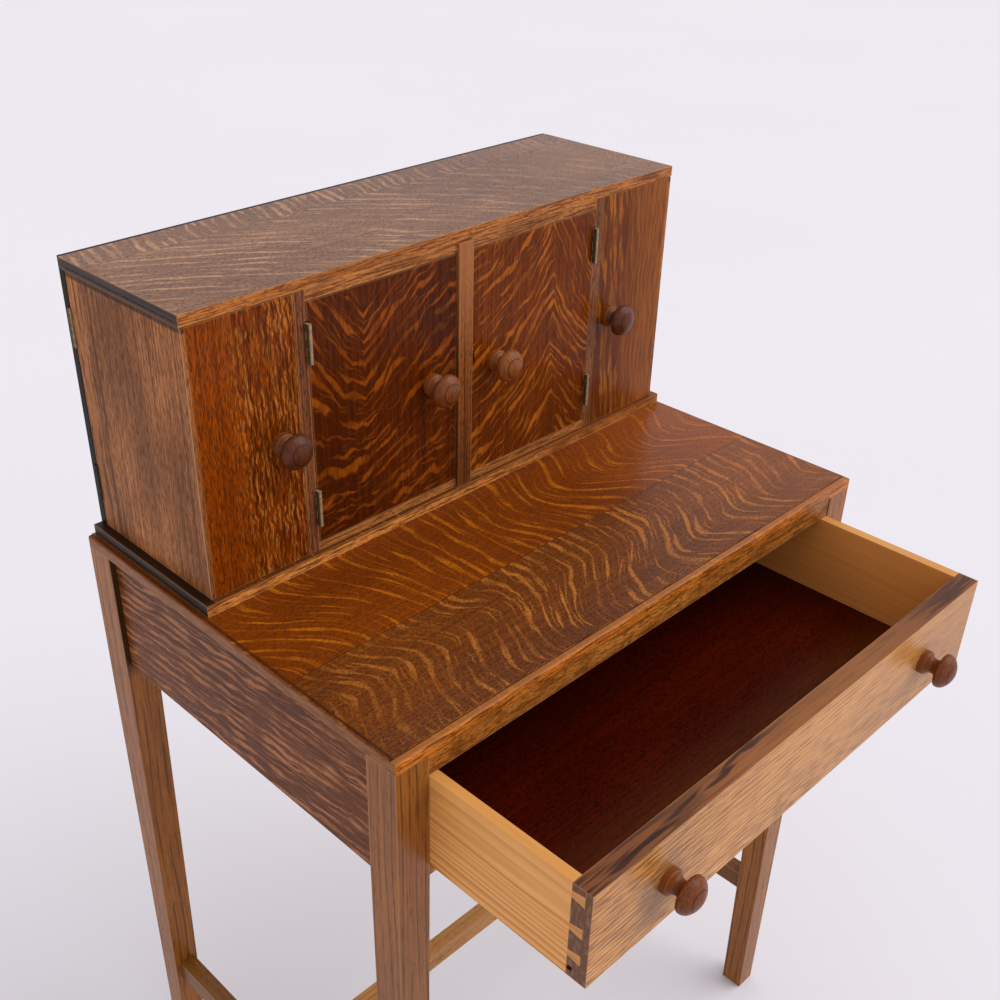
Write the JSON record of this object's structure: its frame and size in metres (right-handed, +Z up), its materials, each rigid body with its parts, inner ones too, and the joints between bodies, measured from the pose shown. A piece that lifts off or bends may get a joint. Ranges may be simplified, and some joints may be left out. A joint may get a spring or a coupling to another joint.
{
  "type": "writing desk",
  "caption": "Small oak writing desk on tapering legs, with a wide drawer that stands open and a low cupboard with hinged doors on its back.",
  "frame": {"origin": "on the floor, in the middle of the space that the desk fills with its drawer open", "axes": "+X towards the right of someone who stands facing the desk, +Y from its front to its back, +Z up"},
  "size_m": [0.615, 0.6208, 1.0308],
  "materials": {
    "brown_oak": "satin",
    "red_oak_stain": "satin",
    "pale_oak": "satin",
    "pine": "matte",
    "drawer_bottom_wood": "satin",
    "knob_oak": "satin",
    "hinge_metal": "satin",
    "catch_metal": "satin",
    "screw_steel": "satin"
  },
  "bodies": {
    "desk": {"back_apron": "brown_oak", "back_left_leg": "brown_oak", "back_right_leg": "brown_oak", "catch_strikes": "hinge_metal", "centre_stile": "brown_oak", "cross_stretcher": "brown_oak", "cupboard_back_board": "brown_oak", "cupboard_base_board": "brown_oak", "cupboard_cap_board": "brown_oak", "cupboard_screws": "screw_steel", "door_hanging_strips": "brown_oak", "drawer_stops": "pine", "fixed_hinge_leaves": "hinge_metal", "front_left_leg": "brown_oak", "front_right_leg": "brown_oak", "hinge_pins": "hinge_metal", "left_apron": "brown_oak", "left_drawer_guide": "pine", "left_drawer_kicker": "pine", "left_drawer_runner": "pine", "left_partition": "brown_oak", "left_side_stretcher": "brown_oak", "lower_front_rail": "brown_oak", "middle_bottom_board": "brown_oak", "middle_top_board": "brown_oak", "right_apron": "brown_oak", "right_drawer_guide": "pine", "right_drawer_kicker": "pine", "right_drawer_runner": "pine", "right_partition": "brown_oak", "right_side_stretcher": "brown_oak", "table_top_back_board": "brown_oak", "table_top_front_board": "brown_oak", "top_screws": "screw_steel", "upper_front_rail": "brown_oak"},
    "drawer": {"drawer_back": "pine", "drawer_bottom": "drawer_bottom_wood", "drawer_front": "pale_oak", "drawer_left_knob": "knob_oak", "drawer_left_side": "pine", "drawer_right_knob": "knob_oak", "drawer_right_side": "pine"},
    "left_centre_door": {"left_centre_door": "red_oak_stain", "left_centre_door_catch": "catch_metal", "left_centre_door_hinge_leaves": "hinge_metal", "left_centre_door_knob": "knob_oak"},
    "left_end_door": {"left_end_door_catch": "catch_metal", "left_end_door_front_panel": "brown_oak", "left_end_door_hinge_leaves": "hinge_metal", "left_end_door_knob": "knob_oak", "left_end_door_side_panel": "brown_oak"},
    "right_centre_door": {"right_centre_door": "red_oak_stain", "right_centre_door_hinge_leaves": "hinge_metal", "right_centre_door_knob": "knob_oak", "right_centre_door_latch": "catch_metal"},
    "right_end_door": {"right_end_door_catch": "catch_metal", "right_end_door_front_panel": "brown_oak", "right_end_door_hinge_leaves": "hinge_metal", "right_end_door_knob": "knob_oak", "right_end_door_side_panel": "brown_oak"}
  },
  "joints": [
    {"name": "drawer_slide", "type": "slide", "parent": "desk", "child": "drawer", "axis": [0, -1, 0], "range_m": [-0.1608, 0.12]},
    {"name": "left_end_door_hinge", "type": "hinge", "parent": "desk", "child": "left_end_door", "pos_m": [-0.2937, 0.2995, 0.898], "axis": [0, 0, -1], "range_deg": [0, 95]},
    {"name": "right_end_door_hinge", "type": "hinge", "parent": "desk", "child": "right_end_door", "pos_m": [0.2937, 0.2995, 0.898], "axis": [0, 0, 1], "range_deg": [0, 95]},
    {"name": "left_centre_door_hinge", "type": "hinge", "parent": "desk", "child": "left_centre_door", "pos_m": [-0.1771, 0.1253, 0.898], "axis": [0, 0, -1], "range_deg": [0, 95]},
    {"name": "right_centre_door_hinge", "type": "hinge", "parent": "desk", "child": "right_centre_door", "pos_m": [0.1771, 0.1253, 0.898], "axis": [0, 0, 1], "range_deg": [0, 95]}
  ]
}
